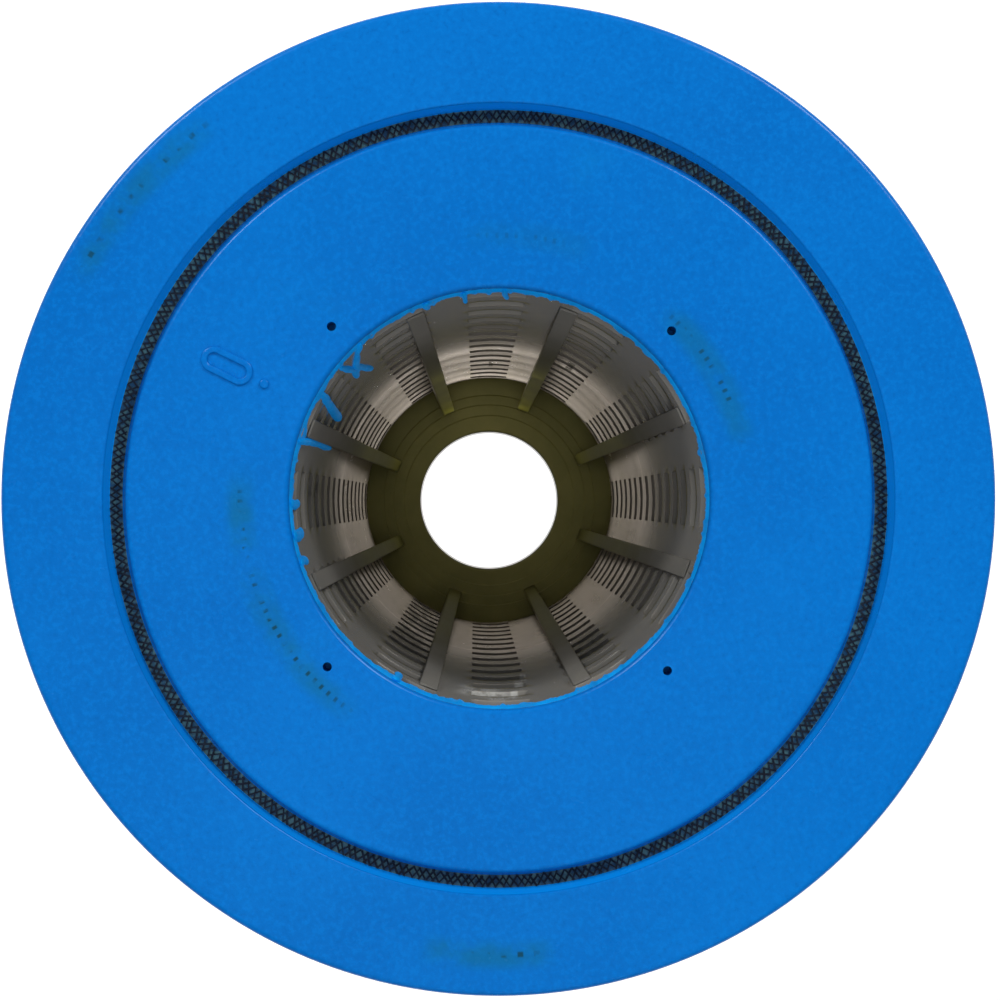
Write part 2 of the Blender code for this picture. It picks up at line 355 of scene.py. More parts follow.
# %% Floor
def stage_disc(name, radius, height, paint, mirrored=True, seen=True):
    bm = bmesh.new()
    bmesh.ops.create_circle(bm, cap_ends=True, segments=96, radius=radius,
                            matrix=Matrix.Translation((0, 0, height)))
    mesh = bpy.data.meshes.new(name)
    bm.to_mesh(mesh)
    bm.free()
    mesh.materials.append(paint.material)
    obj = bpy.data.objects.new(name, mesh)
    bpy.context.scene.collection.objects.link(obj)
    obj.visible_camera = seen
    obj.visible_glossy = mirrored
    obj.visible_diffuse = mirrored


def stage_paint(name, tone, glow):
    """A pale glowing surface that lets light and sight through from below."""
    paint = Paint(name, Roughness=0.8)
    paint.shader.inputs["Emission Color"].default_value = colour(1.0, 1.0, 1.0)
    paint.shader.inputs["Emission Strength"].default_value = glow
    grain = paint.noise(3.0, 3.0).fade(0.2, 0.8)
    lighter = tone + 0.03
    paint.set("Base Color", paint.mix(grain, colour(tone, tone, tone), colour(lighter, lighter, lighter)))
    clear = paint.tree.nodes.new("ShaderNodeBsdfTransparent")
    below = paint.node("ShaderNodeNewGeometry", out="Backfacing")
    chosen = paint.node("ShaderNodeMixShader", sockets={
        0: below, 1: Wire(paint, paint.shader.outputs[0]), 2: Wire(paint, clear.outputs[0])})
    paint.tree.links.new(chosen.socket, paint.tree.nodes["Material Output"].inputs["Surface"])
    return paint


stage_disc("floor", 4.0, 0.0, stage_paint("pale_floor", 0.86, 0.45))
stage_disc("lit_table", 0.0265, 0.0004, stage_paint("lit_table", 0.86, 1.2), mirrored=False)
stage_disc("table_in_reflections", 0.0265, 0.0002, stage_paint("dim_table", 0.02, 0.060), seen=False)
print("floor and lit table")

# %% [markdown]
# ## Blue cast urethane
#
# The caps are poured, not pressed. The resin cures with a satin skin and a faint orange peel, it is
# a little cloudy, and where it lies thin over the folds of cloth their dirty tips show through as
# rows of dark green ticks. The groove's outer wall is painted a paler blue, as painted light that lifts
# the shade in the groove. All of that follows the distance from the axis and the angle about it.

# %% Blue urethane
def blue_urethane(name, face_height):
    paint = Paint(name, Roughness=0.36, IOR=1.50, Specular_IOR_Level=0.18)
    radius, angle, height = paint.polar()
    deep, clear = colour(0.0002, 0.135, 0.500), colour(0.0005, 0.158, 0.560)
    teal = colour(0.002, 0.200, 0.530)
    clouds = paint.noise(14.0, 3.0).fade(0.35, 0.68)
    blue = paint.mix(clouds, deep, clear)
    haze = paint.noise(22.0, 4.0, roughness=0.6).fade(0.56, 0.80) * radius.band(0.066, 0.010, 0.012)
    blue = paint.mix(haze * 0.60, blue, teal)

    pores = paint.noise(850.0, 3.0, roughness=0.65)
    blue = paint.mix(pores.fade(0.46, 0.66) * 0.5, blue, colour(0.0010, 0.190, 0.640))
    blue = paint.mix(pores.fade(0.44, 0.28) * 0.5, blue, colour(0.0002, 0.115, 0.430))

    off_face = (height - face_height).size()
    # Painted light: the groove's outer wall is made paler so that it does not sit in shade.
    groove_wall_painted_light = radius.band(GROOVE_OUTER - 0.0004, 0.0007, 0.0002) * off_face.fade(0.0001, 0.0008)
    blue = paint.mix(groove_wall_painted_light * 0.9, blue, colour(0.001, 0.300, 0.900))

    on_face = off_face.fade(0.0012, 0.0006)
    tick_row = (angle * PLEATS).sine()
    speckle = paint.noise(160.0, 3.0)
    patches = paint.noise(60.0, 4.0, roughness=0.7)
    ticks, stain = 0.0, 0.0
    for middle, half, at, strength in TICK_ARCS:
        arc = (angle - math.radians(middle)).maths("COSINE", angle - math.radians(middle))
        along = arc.fade(math.cos(math.radians(half)), math.cos(math.radians(half * 0.6)))
        marks = tick_row.fade(0.15, 0.75) * radius.band(at, 0.0003, 0.0006) * speckle.fade(0.44, 0.56)
        cloud = radius.band(at, 0.0010, 0.0036) * patches.fade(0.34, 0.62)
        ticks = (marks * along * strength) + ticks
        stain = (cloud * along * strength) + stain
    blue = paint.mix(stain * on_face * 0.62, blue, colour(0.004, 0.130, 0.250))
    blue = paint.mix(ticks * on_face * 0.85, blue, colour(0.006, 0.045, 0.060))
    paint.set("Base Color", blue)
    paint.set("Roughness", patches * 0.12 + 0.20)
    peel = pores * 0.000055 + paint.noise(230.0, 2.0) * 0.000080
    paint.relief(peel + paint.noise(45.0, 2.0) * 0.00018, 0.85)
    return paint


TICK_ARCS = [(205.0, 34.0, 0.0590, 1.0), (30.0, 20.0, 0.0570, 0.8), (140.0, 14.0, 0.1082, 0.9),
             (268.5, 9.0, 0.1039, 1.0), (84.0, 16.0, 0.0600, 0.3)]
top_blue = blue_urethane("blue_urethane_top", TOP)
bottom_blue = blue_urethane("blue_urethane_bottom", 0.0)
print("urethane: two pours, the same blue")

# %% [markdown]
# ## The top end cap
#
# One spun section: a flat face with a moulded groove, a rounded rim, a skirt outside the cloth, and
# a potting ring around the end of the core. The four pin holes are left by the pins that held the
# core in the mould. They are cut with a Boolean, and the cutter is removed again.

# %% Top cap
def groove_section(face, sign):
    """The groove's corners from its inner edge out. sign is 1 on a face that looks up."""
    floor_height = face - sign * GROOVE_DEPTH
    return [(GROOVE_INNER, face, 0.0010), (GROOVE_INNER + 0.0013, floor_height, 0.0003),
            (GROOVE_OUTER - 0.0009, floor_height, 0.0003), (GROOVE_OUTER, face, 0.0005)]


def drilled(obj, holes, radius, circle, first, depth, face):
    """Cuts a circle of blind holes into the object's face."""
    bm = bmesh.new()
    for i in range(holes):
        bmesh.ops.create_cone(bm, cap_ends=True, segments=24, radius1=radius, radius2=radius,
                              depth=2 * depth, matrix=around(first + 2 * math.pi * i / holes, circle, face))
    mesh = bpy.data.meshes.new("cutter")
    bm.to_mesh(mesh)
    bm.free()
    cutter = bpy.data.objects.new("cutter", mesh)
    bpy.context.scene.collection.objects.link(cutter)
    cut = obj.modifiers.new("pin_holes", "BOOLEAN")
    cut.operation = "DIFFERENCE"
    cut.object = cutter
    bpy.context.view_layer.update()
    result = bpy.data.meshes.new_from_object(obj.evaluated_get(bpy.context.evaluated_depsgraph_get()))
    obj.modifiers.clear()
    obj.data = result
    result.name = obj.name
    bpy.data.objects.remove(cutter, do_unlink=True)
    result.set_sharp_from_angle(angle=math.radians(40))


MOUTH_RADIUS = 0.0480
SKIRT = TOP - CAP_HEIGHT
UNDER = TOP - 0.006
top_section = [(MOUTH_RADIUS, TOP, 0.0011)] + groove_section(TOP, 1) + [
    (CAP_RADIUS, TOP, 0.0014), (CAP_RADIUS, SKIRT, 0.0006), (POTTING_OUTER, SKIRT, 0.0006),
    (POTTING_OUTER, UNDER, 0.0006), (POTTING_INNER, UNDER, 0.0006), (POTTING_INNER, SKIRT, 0.0010),
    (CORE_SEAT, SKIRT, 0.0004), (CORE_SEAT, TOP - 0.004, 0.0), (MOUTH_RADIUS, TOP - 0.004, 0.0)]
top_cap = piece("top_cap", turned(top_section, steps=256), top_blue, ["top_end_cap"])
PIN_RADIUS = 0.00105
PIN_CIRCLE = 0.0548
PIN_DEPTH = 0.008
drilled(top_cap, 4, PIN_RADIUS, PIN_CIRCLE, math.radians(44.3), PIN_DEPTH, TOP)
print("top cap: pin holes cut,", len(top_cap.data.polygons), "faces")

# %% [markdown]
# ## A moulded mark
#
# Casting moulds carry a small raised mark, so that a bad pour can be traced to its mould. Here it is
# a plain loop with a dot beside it. Two ovals are bridged into a flat loop, which is extruded and
# given soft edges.

# %% Moulded mark
def oval(bm, half_width, straight, segments=40):
    """A circle pulled apart along X into an oval with straight sides."""
    made = bmesh.ops.create_circle(bm, segments=segments, radius=half_width)
    for vert in made["verts"]:
        vert.co.x += straight / 2 if vert.co.x > 0 else -straight / 2
    return list({edge for vert in made["verts"] for edge in vert.link_edges})


def raise_up(bm, faces, height, softness):
    """Extrudes flat faces upwards and softens their top edges."""
    made = bmesh.ops.extrude_face_region(bm, geom=faces)
    top = [item for item in made["geom"] if isinstance(item, bmesh.types.BMVert)]
    bmesh.ops.translate(bm, verts=top, vec=(0, 0, height))
    rim = [edge for edge in bm.edges
           if all(vert in top for vert in edge.verts) and edge.calc_face_angle(0) > 0.5]
    bmesh.ops.bevel(bm, geom=rim, offset=softness, segments=3, profile=0.5, affect="EDGES", material=-1)


MARK_LENGTH = 0.0125
MARK_HALF_WIDTH = 0.0030
MARK_STROKE = 0.0015
MARK_HEIGHT = 0.0006
MARK_SOFTNESS = 0.00035
MARK_ANGLE = math.radians(154.0)
MARK_RADIUS = 0.0690
DOT_RADIUS = 0.0011
DOT_GAP = 0.0032
bm = bmesh.new()
outer_edges = oval(bm, MARK_HALF_WIDTH, MARK_LENGTH - 2 * MARK_HALF_WIDTH)
inner_edges = oval(bm, MARK_HALF_WIDTH - MARK_STROKE, MARK_LENGTH - 2 * MARK_HALF_WIDTH)
loop = bmesh.ops.bridge_loops(bm, edges=outer_edges + inner_edges)["faces"]
raise_up(bm, loop, MARK_HEIGHT, MARK_SOFTNESS)
dot = bmesh.ops.create_circle(bm, cap_ends=True, segments=24, radius=DOT_RADIUS,
                              matrix=Matrix.Translation((-MARK_LENGTH / 2 - DOT_GAP, 0, 0)))["verts"]
raise_up(bm, list({face for vert in dot for face in vert.link_faces}), MARK_HEIGHT, MARK_SOFTNESS)
bmesh.ops.recalc_face_normals(bm, faces=bm.faces)
bmesh.ops.transform(bm, matrix=around(MARK_ANGLE, MARK_RADIUS, TOP - 0.00002), verts=bm.verts)
piece("moulded_mark", bm, top_blue)

# %% [markdown]
# ## Cloth ends in the groove
#
# The ring in the mould that makes the groove also holds the folds, so the floor of the groove is
# almost bare: the cut ends of the cloth and of its dark net cross it in a fine row of X's. Each X is
# two small bars, turned a little at random, on a floor of thin, dirty resin.

# %% Groove floor
ends_paint = Paint("cloth_ends", Roughness=0.6)
ends_tone = ends_paint.noise(900.0, 2.0).fade(0.35, 0.65)
ends_dark, ends_light = colour(0.0020, 0.0045, 0.0110), colour(0.006, 0.013, 0.024)
ends_paint.set("Base Color", ends_paint.mix(ends_tone, ends_dark, ends_light))
ends_paint.relief(ends_paint.noise(2500.0, 2.0) * 0.00010, 0.6)

thin_resin = Paint("thin_resin", Roughness=0.42, IOR=1.5)
resin_tone = thin_resin.noise(520.0, 3.0, roughness=0.65).fade(0.38, 0.62)
resin_blue, resin_grey = colour(0.006, 0.045, 0.105), colour(0.050, 0.130, 0.155)
thin_resin.set("Base Color", thin_resin.mix(resin_tone, resin_blue, resin_grey))
thin_resin.relief(thin_resin.noise(800.0, 2.0) * 0.00012, 0.8)

FLOOR_IN = GROOVE_INNER + 0.0014
FLOOR_OUT = GROOVE_OUTER - 0.0010


def groove_floor(name, height, sign):
    bar_length = (FLOOR_OUT - FLOOR_IN) * 1.08
    bm = bmesh.new()
    for i in range(2 * PLEATS):
        for lean in (-1, 1):
            angle = math.pi / PLEATS * (i + rng.uniform(-0.18, 0.18))
            turn = Matrix.Rotation(lean * math.radians(rng.uniform(28, 44)), 4, "Z")
            place = around(angle, (FLOOR_IN + FLOOR_OUT) / 2 + rng.uniform(-0.00012, 0.00012),
                           height + sign * rng.uniform(0.00010, 0.00022))
            size = Matrix.Diagonal((bar_length, rng.uniform(0.00030, 0.00048), 0.00040, 1.0))
            bmesh.ops.create_cube(bm, size=1.0, matrix=place @ turn @ size)
    piece(name + "_cloth_ends", bm, ends_paint)
    skin = 0.00012
    near, far = height + sign * skin, height - sign * skin
    flat = turned([(FLOOR_IN, near, 0.0), (FLOOR_OUT, near, 0.0), (FLOOR_OUT, far, 0.0),
                   (FLOOR_IN, far, 0.0)], steps=256)
    piece(name + "_thin_resin", flat, thin_resin)


groove_floor("top_groove", TOP - GROOVE_DEPTH, 1)
groove_floor("bottom_groove", GROOVE_DEPTH, -1)

# %% [markdown]
# ## The bottom end cap
#
# The same pour in the same kind of mould, but its hole fits the neck of the base plate.

# %% Bottom cap
NECK_HOLE = 0.0313
SEAT_FLOOR = 0.0072                 # the base plate rests on this
POTTING_FLOOR = 0.006
bottom_section = [
    (NECK_HOLE, SEAT_FLOOR, 0.0), (CORE_SEAT, SEAT_FLOOR, 0.0), (CORE_SEAT, CAP_HEIGHT, 0.0004),
    (POTTING_INNER, CAP_HEIGHT, 0.0010), (POTTING_INNER, POTTING_FLOOR, 0.0006),
    (POTTING_OUTER, POTTING_FLOOR, 0.0006), (POTTING_OUTER, CAP_HEIGHT, 0.0006),
    (CAP_RADIUS, CAP_HEIGHT, 0.0006), (CAP_RADIUS, 0.0, 0.0014)]
bottom_section += list(reversed(groove_section(0.0, -1))) + [(NECK_HOLE, 0.0, 0.0011)]
piece("bottom_cap", turned(bottom_section, steps=256), bottom_blue, ["bottom_end_cap"])

# %% [markdown]
# ## Core plastic
#
# The core is moulded in a tan-grey plastic with a gloss, which shows at a grazing angle. Its colour is
# painted darker high up and lighter low in the bore, as painted light, and silt streaks run down the
# wall. The windows' ledges, which face up, are painted dark as painted shade.
# Scuffs and stains are listed by where they are, and each one's edge is broken up by noise.

# %% Core plastic
PALE, DUSTY = colour(0.620, 0.615, 0.580), colour(0.085, 0.080, 0.068)
STAINED = colour(0.040, 0.036, 0.026)
# angle, half width (degrees), depth, half depth (share of the core), colour
MARKS = [
    (265.0, 7.0, 0.115, 0.045, PALE), (271.0, 4.0, 0.080, 0.030, PALE), (274.8, 1.1, 0.105, 0.045, PALE),
    (276.7, 1.3, 0.170, 0.050, PALE), (278.6, 1.0, 0.225, 0.040, PALE), (241.0, 9.0, 0.80, 0.26, DUSTY),
    (238.0, 6.0, 0.40, 0.12, DUSTY), (177.0, 2.4, 0.22, 0.050, DUSTY), (300.0, 9.0, 0.30, 0.10, DUSTY),
    (60.0, 1.4, 0.50, 0.05, STAINED), (90.0, 0.9, 0.75, 0.04, STAINED), (205.0, 1.6, 0.62, 0.03, STAINED)]

core_paint = Paint("core_plastic", IOR=1.46, Specular_IOR_Level=0.45)
radius, angle, height = core_paint.polar()
streaks = core_paint.noise(1.0, 4.0, where=core_paint.stretched(150.0, 150.0, 9.0), roughness=0.6)
blotches = core_paint.noise(38.0, 4.0, roughness=0.6)
share = (TOP - height) / DEPTH
low_down = share.fade(0.16, 0.62)
# Painted light: the wall's colour runs from a darker tone near the top to a lighter tone low in the bore.
painted_lit_lower, painted_shade_upper = colour(0.450, 0.395, 0.340), colour(0.245, 0.236, 0.214)
body = core_paint.mix(low_down, painted_shade_upper, painted_lit_lower)
body = core_paint.mix(streaks.fade(0.42, 0.72) * 0.45, body, colour(0.300, 0.262, 0.205))
body = core_paint.mix(blotches.fade(0.60, 0.74) * 0.30, body, colour(0.165, 0.105, 0.070))
facing = core_paint.node("ShaderNodeTexCoord", out="Normal")
facing_up = core_paint.split(facing)[2]
# Painted shade: faces that look up, the windows' ledges, are darkened, more so low in the bore.
ledge_painted_shade = facing_up.fade(0.35, 0.85) * (low_down * 0.70 + 0.15)
body = core_paint.mix(ledge_painted_shade, body, colour(0.050, 0.045, 0.032))
scrape = core_paint.noise(1.0, 4.0, where=core_paint.stretched(260.0, 260.0, 70.0), roughness=0.7)
degrees = angle * (180 / math.pi)
for turn, half, depth, reach, tone in MARKS:
    side = (degrees + (360.0 - turn if turn > 180 else -turn)).size()
    mark = side.fade(half * 1.3, half * 0.6) * share.band(depth, reach * 0.6, reach * 0.7)
    body = core_paint.mix(mark * scrape.fade(0.36, 0.56) * 0.75, body, tone)
core_paint.set("Base Color", body)
core_paint.set("Roughness", blotches * 0.06 + streaks * 0.05 + low_down * 0.16 + 0.05)
core_paint.relief(core_paint.noise(420.0, 2.0) * 0.000006 + streaks * 0.000012, 0.4)

dark_paint = Paint("dark_plastic", IOR=1.46)
dull = dark_paint.noise(55.0, 4.0, roughness=0.6)
olive, worn_olive = colour(0.165, 0.165, 0.046), colour(0.205, 0.202, 0.062)
dark_paint.set("Base Color", dark_paint.mix(dull.fade(0.35, 0.70), olive, worn_olive))
dark_paint.set("Roughness", dull * 0.25 + 0.42)
dark_paint.relief(dark_paint.noise(600.0, 2.0) * 0.00004, 0.6)

fin_paint = Paint("fin_plastic", IOR=1.46, Specular_IOR_Level=0.2)
dull = fin_paint.noise(55.0, 4.0, roughness=0.6)
# The fins are paler towards the top, close to the wall's tone, and dark olive lower down.
paler_towards_top = ((TOP - fin_paint.xyz()[2]) / DEPTH + dull * 0.08).fade(0.44, 0.20)
bare = fin_paint.mix(dull.fade(0.35, 0.70), colour(0.030, 0.028, 0.004), colour(0.044, 0.041, 0.007))
fin_paint.set("Base Color", fin_paint.mix(paler_towards_top, bare, colour(0.185, 0.178, 0.160)))
fin_paint.set("Roughness", dull * 0.10 + 0.26)
fin_paint.relief(fin_paint.noise(600.0, 2.0) * 0.00001, 0.4)
print("core plastics mixed")

# %% [markdown]
# ## The slotted core
#
# The wall starts as a flat grid, one column of faces for each part of a window or of the solid land
# beside it. The window faces are deleted, the grid is wrapped into a tube, and Solidify gives the
# wall its thickness. A small bevel rounds the windows' edges, as moulding does.

# %% Core sections
def stops(pitch, opening, inside, between):
    """Where the grid lines fall over one pitch, with the opening in the middle."""
    left = [-pitch / 2 + (pitch - opening) / 2 * k / between for k in range(between)]
    hole = [-opening / 2 + opening * k / inside for k in range(inside)]
    right = [opening / 2 + (pitch - opening) / 2 * k / between for k in range(between)]
    return left + hole + right


def core_section(name, node, bottom, top, rows):
    turns = [COLUMN_TURN + 2 * math.pi / COLUMNS * i + t for i in range(COLUMNS)
             for t in stops(2 * math.pi / COLUMNS, WINDOW_ANGLE, 6, 3)]
    heights = [bottom, top]
    for row in rows:
        middle = FIRST_ROW - row * ROW_PITCH
        heights += [middle + h for h in stops(ROW_PITCH, WINDOW_HEIGHT, 3, 2)]
    heights = sorted(h for h in heights if bottom <= h <= top)
    heights = [h for i, h in enumerate(heights) if i == 0 or h - heights[i - 1] > 0.0004]

    bm = bmesh.new()
    bmesh.ops.create_grid(bm, x_segments=len(turns), y_segments=len(heights) - 1, size=0.5)
    for vert in bm.verts:
        column = round((vert.co.x + 0.5) * len(turns))
        row = round((vert.co.y + 0.5) * (len(heights) - 1))
        turn = turns[column % len(turns)]
        vert.co = on_circle(CORE_INNER, turn, heights[row])
    bmesh.ops.remove_doubles(bm, verts=bm.verts, dist=0.000001)

    def in_window(face):
        middle = face.calc_center_median()
        turn = math.atan2(middle.y, middle.x) - COLUMN_TURN
        off_column = abs((turn + math.pi / COLUMNS) % (2 * math.pi / COLUMNS) - math.pi / COLUMNS)
        off_row = min(abs(middle.z - (FIRST_ROW - row * ROW_PITCH)) for row in rows)
        return off_column < WINDOW_ANGLE / 2 and off_row < WINDOW_HEIGHT / 2

    bmesh.ops.delete(bm, geom=[face for face in bm.faces if in_window(face)], context="FACES")
    bmesh.ops.recalc_face_normals(bm, faces=bm.faces)
    tube = piece(name, bm, core_paint, [node])
    if tube.data.polygons[0].normal.dot(tube.data.polygons[0].center.xy.to_3d()) < 0:
        tube.data.flip_normals()
    wall = tube.modifiers.new("wall", "SOLIDIFY")
    wall.thickness = CORE_OUTER - CORE_INNER
    wall.offset = 1.0
    soft = tube.modifiers.new("soft_edges", "BEVEL")
    soft.width = 0.00014
    soft.segments = 2
    soft.limit_method = "ANGLE"
    soft.angle_limit = math.radians(50)
    return tube


UPPER_ROWS = range(8)
LOWER_ROWS = range(8, 15)
core_section("core_upper", "core_upper_section", CORE_JOINT, CORE_TOP, UPPER_ROWS)
core_section("core_lower", "core_lower_section", CORE_BOTTOM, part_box("core_lower_section")[1].z, LOWER_ROWS)

# %% Stand-off ribs and the ring over the joint
RIB_OUTER = 0.0560
RIB_WIDTH = 0.0030
RIB_SUNK = 0.0004                   # how far a rib's foot goes into the wall


def standoff_ribs(name, bottom, top):
    bm = bmesh.new()
    for i in range(COLUMNS):
        turn = COLUMN_TURN + 2 * math.pi / COLUMNS * (i + 0.5)
        size = Matrix.Diagonal((RIB_OUTER - CORE_OUTER + RIB_SUNK, RIB_WIDTH, top - bottom, 1.0))
        place = around(turn, (RIB_OUTER + CORE_OUTER - RIB_SUNK) / 2, (top + bottom) / 2)
        bmesh.ops.create_cube(bm, size=1.0, matrix=place @ size)
    soften(bm, 0.0004)
    piece(name, bm, core_paint)


ring_low, ring_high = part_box("core_coupling_ring")
standoff_ribs("upper_ribs", ring_high.z + 0.0005, TOP - CAP_HEIGHT - 0.0006)
standoff_ribs("lower_ribs", CAP_HEIGHT + 0.0006, ring_low.z - 0.0005)
coupling = [(CORE_OUTER + 0.0004, ring_high.z, 0.0004), (ring_high.x, ring_high.z, 0.0010),
            (ring_high.x, ring_low.z, 0.0010), (CORE_OUTER + 0.0004, ring_low.z, 0.0004)]
piece("coupling_ring", turned(coupling, steps=96), dark_paint, ["core_coupling_ring"])

# %% [markdown]
# ## Base plate and guide fins
#
# The dark plate closes the foot of the core around the outlet. Its face steps down towards the hole
# in shallow rings. Eight tall fins stand on it, wide at the foot and almost nothing at the tip, so
# that they guide a pipe into the outlet.

# %% Base plate
PLATE_BOTTOM = 0.0075
OUTLET_RADIUS = 0.0270
plate_section = [(OUTLET_RADIUS, PLATE_TOP - 0.0016, 0.0007), (0.0330, PLATE_TOP - 0.0016, 0.0003),
                 (0.0333, PLATE_TOP - 0.0011, 0.0002), (0.0371, PLATE_TOP - 0.0011, 0.0002),
                 (0.0374, PLATE_TOP - 0.0006, 0.0002), (0.0408, PLATE_TOP - 0.0006, 0.0002),
                 (0.0411, PLATE_TOP, 0.0002), (CORE_OUTER, PLATE_TOP, 0.0005),
                 (CORE_OUTER, PLATE_BOTTOM, 0.0005), (0.0310, PLATE_BOTTOM, 0.0004),
                 (0.0310, 0.0006, 0.0008), (OUTLET_RADIUS, 0.0006, 0.0008)]
piece("base_plate", turned(plate_section), dark_paint, ["core_base_plate"])

# %% Guide fins
FIN_THICKNESS = 0.0045
FIN_FOOT_INNER = 0.0371
FIN_TIP_INNER = 0.0470
FIN_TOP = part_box("guide_fin_1")[1].z
for i in range(8):
    bm = bmesh.new()
    wall = CORE_INNER - 0.0001
    size = Matrix.Diagonal((wall - FIN_FOOT_INNER, FIN_THICKNESS, FIN_TOP - PLATE_TOP, 1.0))
    place = Matrix.Translation(((wall + FIN_FOOT_INNER) / 2, 0, (FIN_TOP + PLATE_TOP) / 2))
    bmesh.ops.create_cube(bm, size=1.0, matrix=place @ size)
    soften(bm, 0.0006)
    for vert in bm.verts:
        up = (vert.co.z - PLATE_TOP) / (FIN_TOP - PLATE_TOP)
        slimmer = 1 - up + up * (wall - FIN_TIP_INNER) / (wall - FIN_FOOT_INNER)
        vert.co.x = math.sqrt(wall ** 2 - vert.co.y ** 2) - (wall - vert.co.x) * slimmer
    bmesh.ops.transform(bm, matrix=Matrix.Rotation(math.radians(24.5 + 45 * i), 4, "Z"), verts=bm.verts)
    piece(f"fin_{i + 1}", bm, fin_paint, [f"guide_fin_{i + 1}"])

# %% [markdown]
# ## Resin on the core
#
# The urethane is poured around the core while it is thin as syrup, so it creeps over the core's rim
# and some of it runs down inside. The creep is a band wrapped round the wall whose lower edge is
# uneven. Each run starts as a sphere: its poles become the two ends of the run, and its rings are
# pressed into a flat lens that follows a path down the wall. Its material has a painted glow, so the
# resin stays bright in the dark bore although no lamp lights it there.

# %% Creep over the rim
def wander(angle, scale, seed):
    """Smooth noise around the ring, from about -1 to 1."""
    return noise.noise(Vector((math.cos(angle) * scale, math.sin(angle) * scale, seed)))


def creep_depth(angle):
    broad = max(0.0, wander(angle, 11.0, 6.0) - 0.05) * 0.0100
    teeth = max(0.0, wander(angle, 30.0, 4.0) - 0.02) * 0.0140
    fringe = max(0.0, wander(angle, 80.0, 1.0)) * 0.0050
    return 0.0012 + broad + teeth + fringe


run_paint = Paint("thin_urethane", Roughness=0.5, IOR=1.5, Specular_IOR_Level=0.1)
run_tone = run_paint.noise(150.0, 3.0).fade(0.35, 0.7)
thick, thin = colour(0.001, 0.205, 0.580), colour(0.002, 0.270, 0.700)
run_paint.set("Base Color", run_paint.mix(run_tone, thick, thin))
# Painted light: a glow keeps the creep and the runs bright in the dark bore.
run_paint.shader.inputs["Emission Color"].default_value = colour(0.000, 0.165, 0.470)
run_paint.shader.inputs["Emission Strength"].default_value = 0.38
run_paint.relief(run_paint.noise(500.0, 2.0) * 0.00004, 0.6)

bm = bmesh.new()
columns, rows = 900, 12
bmesh.ops.create_grid(bm, x_segments=columns, y_segments=rows, size=0.5)
creep_top = TOP - 0.0010
for vert in bm.verts:
    turn = 2 * math.pi * (vert.co.x + 0.5)
    way = 2 * math.pi * (vert.co.y + 0.5)
    reach = 0.0034 + creep_depth(turn)
    bulge = 0.00084 + 0.00016 * wander(turn, 9.0, 2.0)
    inward = CORE_INNER + 0.0006 - bulge * (1 - math.cos(way)) / 2
    vert.co = on_circle(inward, turn, creep_top - reach * (1 - math.cos(way / 2)) / 2)
bmesh.ops.remove_doubles(bm, verts=bm.verts, dist=0.000001)
bmesh.ops.recalc_face_normals(bm, faces=bm.faces)
piece("resin_creep", bm, run_paint)


# %% Runs down the wall
def resin_run(name, path, width, thickness):
    """path is (angle in degrees, depth as a share of the core) from the rim down."""
    bm = bmesh.new()
    bmesh.ops.create_uvsphere(bm, u_segments=12, v_segments=40, radius=1.0)
    for vert in bm.verts:
        along = min(max((1 - vert.co.z) / 2, 0.0), 1.0) * (len(path) - 1)
        leg = min(int(along), len(path) - 2)
        share = along - leg
        turn = math.radians(path[leg][0] * (1 - share) + path[leg + 1][0] * share)
        depth = (path[leg][1] * (1 - share) + path[leg + 1][1] * share) * DEPTH
        ring = math.sqrt(max(1e-9, 1 - vert.co.z ** 2))
        end = min(1.0, ring * 1.6) * (0.9 + 0.3 * wander(depth * 60, 1.5, turn))
        sideways = vert.co.x / max(ring, 1e-4) * end * width / 2
        inward = max(vert.co.y / max(ring, 1e-4), -0.3) * end * thickness
        vert.co = on_circle(CORE_INNER - inward, turn + sideways / CORE_INNER, TOP - depth)
    bmesh.ops.recalc_face_normals(bm, faces=bm.faces)
    piece(name, bm, run_paint)


RUNS = [
    ([(163.9, 0.005), (163.3, 0.07), (162.7, 0.18), (162.9, 0.30)], 0.0020, 0.0012),
    ([(149.4, 0.020), (150.2, 0.08), (151.8, 0.18), (152.9, 0.28)], 0.0025, 0.0011),
    ([(132.2, 0.005), (134.2, 0.04), (136.3, 0.09), (137.5, 0.15)], 0.0021, 0.0009),
    ([(140.5, 0.020), (139.6, 0.06), (138.0, 0.12), (138.8, 0.18)], 0.0019, 0.0009),
    ([(137.0, 0.08), (136.4, 0.12), (135.2, 0.17), (133.4, 0.23)], 0.0017, 0.0008),
    ([(99.8, 0.003), (99.7, 0.03), (99.5, 0.07)], 0.0013, 0.0006),
    ([(88.6, 0.003), (88.4, 0.03), (87.5, 0.06)], 0.0014, 0.0006),
    ([(110.6, 0.003), (110.9, 0.02), (110.4, 0.04)], 0.0017, 0.0006),
    ([(181.0, 0.003), (181.8, 0.03), (181.3, 0.06)], 0.0024, 0.0008),
    ([(190.0, 0.003), (190.5, 0.03), (189.6, 0.07)], 0.0030, 0.0008),
    ([(198.0, 0.003), (197.4, 0.03), (197.9, 0.05)], 0.0022, 0.0007),
    ([(240.0, 0.003), (240.6, 0.03), (240.3, 0.05)], 0.0022, 0.0007),
]
for i, (path, width, thickness) in enumerate(RUNS):
    resin_run(f"resin_run_{i + 1}", path, width, thickness)

# %% [markdown]
# ## The net sleeve
#
# A tube of extruded net keeps the folds off the core. Its strands cross in diamonds. A plain grid is
# poked, which puts an X in each of its squares, and the squares' own edges are dissolved, which leaves
# the diamonds. Wrapped round the core, a Wireframe modifier gives the strands their thickness.

# %% Net sleeve
net_paint = Paint("net_plastic", Roughness=0.5)
net_dust = net_paint.noise(300.0, 3.0).fade(0.45, 0.75)
net_black, net_grey = colour(0.012, 0.013, 0.014), colour(0.050, 0.048, 0.042)
net_paint.set("Base Color", net_paint.mix(net_dust, net_black, net_grey))
net_paint.relief(net_paint.noise(900.0, 2.0) * 0.00005, 0.5)

